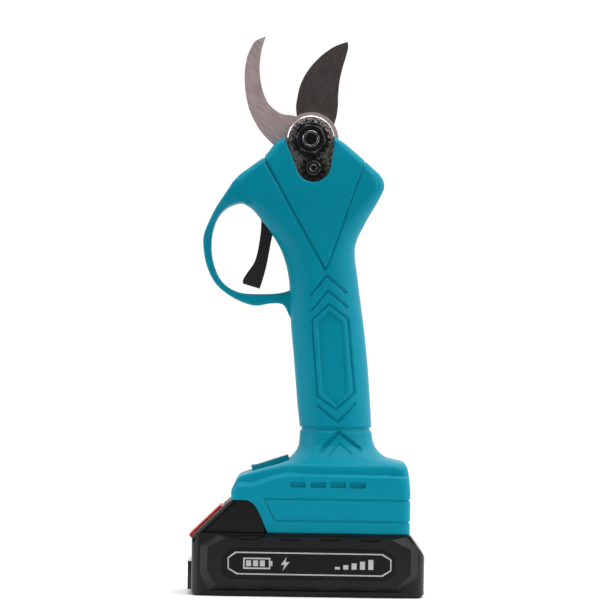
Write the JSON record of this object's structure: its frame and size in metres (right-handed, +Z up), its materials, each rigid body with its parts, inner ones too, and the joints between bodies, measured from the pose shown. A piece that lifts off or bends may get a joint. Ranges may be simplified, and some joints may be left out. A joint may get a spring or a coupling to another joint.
{
  "type": "battery electric pruner",
  "caption": "Hand-held battery pruner: hooked fixed blade and curved moving blade on a geared head, trigger in a looped guard, slim slide-on battery as its base.",
  "frame": {"origin": "middle of the battery's underside, on the surface the tool stands on", "axes": "+Z up from the battery to the blades, +X from the trigger side to the back of the hand, +Y across the tool towards the pivot bolt's head"},
  "size_m": [0.114, 0.075, 0.2702],
  "materials": {
    "teal_plastic": "satin moulded ABS",
    "button_plastic": "satin moulded ABS",
    "trigger_plastic": "fine-textured moulded nylon",
    "ground_steel": "ground with diagonal scratches",
    "hardened_steel": "darkened hardened steel, brushed",
    "sector_steel": "machined",
    "black_oxide": "black oxide",
    "cast_steel": "dark, as cast, with a machined rim",
    "bronze": "sintered",
    "cast_aluminium": "die cast",
    "bearing_steel": "polished",
    "zinc_steel": "zinc plated",
    "spring_steel": "drawn wire",
    "copper": "varnished winding",
    "black_nylon": "moulded nylon",
    "magnet_metal": "nickel plated",
    "circuit_board": "solder mask",
    "components": "moulded components",
    "gold_contacts": "plated",
    "battery_plastic": "satin moulded ABS",
    "cell_wrap": "shrink wrap",
    "nickel": "rolled strip",
    "red_plastic": "satin moulded ABS",
    "gauge_plastic": "gloss moulded",
    "label_film": "printed polycarbonate film"
  },
  "bodies": {
    "tool": {"left_housing": "teal_plastic", "right_housing": "teal_plastic", "housing_screws": "black_oxide", "counter_blade": "ground_steel", "pivot_bolt": "black_oxide", "pivot_nut": "black_oxide", "lock_ring": "black_oxide", "lock_gear": "black_oxide", "lock_screw": "black_oxide", "front_cheek": "cast_steel", "rear_cheek": "cast_steel", "gear_head": "cast_aluminium", "cheek_screws": "black_oxide", "output_bearing": "bearing_steel", "ring_gear_case": "cast_aluminium", "motor_plate": "cast_aluminium", "motor_can": "zinc_steel", "motor_end_bell": "black_nylon", "trigger_pin": "bearing_steel", "trigger_spring": "spring_steel", "hall_sensor_board": "circuit_board", "control_board": "circuit_board", "power_stage": "components", "power_switch": "components", "terminal_block": "black_nylon", "terminal_blades": "gold_contacts"},
    "blade": {"moving_blade": "hardened_steel", "crown_sector": "sector_steel", "sector_screws": "black_oxide", "pivot_bush": "bronze"},
    "output_shaft": {"drive_pinion": "sector_steel", "planet_carrier": "sector_steel"},
    "planet_a": {"planet_gear_1": "bronze"},
    "planet_b": {"planet_gear_2": "bronze"},
    "planet_c": {"planet_gear_3": "bronze"},
    "rotor": {"sun_gear": "sector_steel", "motor_rotor": "copper"},
    "trigger_lever": {"trigger": "trigger_plastic", "trigger_magnet": "magnet_metal"},
    "power_pad": {"power_button": "button_plastic"},
    "battery": {"battery_upper_case": "battery_plastic", "battery_lower_case": "battery_plastic", "battery_cells": "cell_wrap", "cell_straps": "nickel", "battery_board": "circuit_board", "battery_contacts": "gold_contacts", "battery_screws": "black_oxide", "gauge_panel": "gauge_plastic", "release_spring": "spring_steel", "left_label": "label_film", "right_label": "label_film"},
    "release": {"release_button": "red_plastic", "release_latch": "battery_plastic"},
    "gauge_key": {"gauge_button": "red_plastic"}
  },
  "joints": [
    {"name": "blade_swing", "type": "hinge", "parent": "tool", "child": "blade", "pos_m": [-0.0003, 0, 0.2205], "axis": [0, -1, 0], "range_deg": [0, 44]},
    {"name": "pinion_spin", "type": "hinge", "parent": "tool", "child": "output_shaft", "pos_m": [0.00165, 0, 0.20059], "axis": [-0.0976, 0, 0.9952], "range_deg": [-160, 5]},
    {"name": "planet_a_spin", "type": "hinge", "parent": "output_shaft", "child": "planet_a", "pos_m": [0.01111, 0, 0.17791], "axis": [-0.0976, 0, 0.9952], "range_deg": [-10, 480]},
    {"name": "planet_b_spin", "type": "hinge", "parent": "output_shaft", "child": "planet_b", "pos_m": [0.00036, 0.00624, 0.17686], "axis": [-0.0976, 0, 0.9952], "range_deg": [-10, 480]},
    {"name": "planet_c_spin", "type": "hinge", "parent": "output_shaft", "child": "planet_c", "pos_m": [0.00036, -0.00624, 0.17686], "axis": [-0.0976, 0, 0.9952], "range_deg": [-10, 480]},
    {"name": "rotor_spin", "type": "hinge", "parent": "tool", "child": "rotor", "pos_m": [0.00556, 0, 0.16079], "axis": [-0.0976, 0, 0.9952], "range_deg": [-635, 10]},
    {"name": "trigger_squeeze", "type": "hinge", "parent": "tool", "child": "trigger_lever", "pos_m": [-0.02103, 0, 0.18702], "axis": [0, -1, 0], "range_deg": [0, 8], "stiffness_Nm_per_rad": 0.4, "springref_deg": -17.19},
    {"name": "power_press", "type": "slide", "parent": "tool", "child": "power_pad", "axis": [0.3173, 0, -0.9483], "range_m": [0, 0.0012], "stiffness_N_per_m": 1500, "springref_m": -0.0015},
    {"name": "battery_slide", "type": "slide", "parent": "tool", "child": "battery", "axis": [-1, 0, 0], "range_m": [0, 0.11]},
    {"name": "release_press", "type": "slide", "parent": "battery", "child": "release", "axis": [0, 0, -1], "range_m": [0, 0.004], "stiffness_N_per_m": 600, "springref_m": -0.003, "deforming": ["release_spring"]},
    {"name": "gauge_press", "type": "slide", "parent": "battery", "child": "gauge_key", "axis": [1, 0, 0], "range_m": [0, 0.0008], "stiffness_N_per_m": 500, "springref_m": -0.001}
  ],
  "couplings": [
    {"joint": "pinion_spin", "follows": "blade_swing", "ratio": -3.5556},
    {"joint": "planet_a_spin", "follows": "blade_swing", "ratio": 10.667},
    {"joint": "planet_b_spin", "follows": "blade_swing", "ratio": 10.667},
    {"joint": "planet_c_spin", "follows": "blade_swing", "ratio": 10.667},
    {"joint": "rotor_spin", "follows": "blade_swing", "ratio": -14.222}
  ]
}
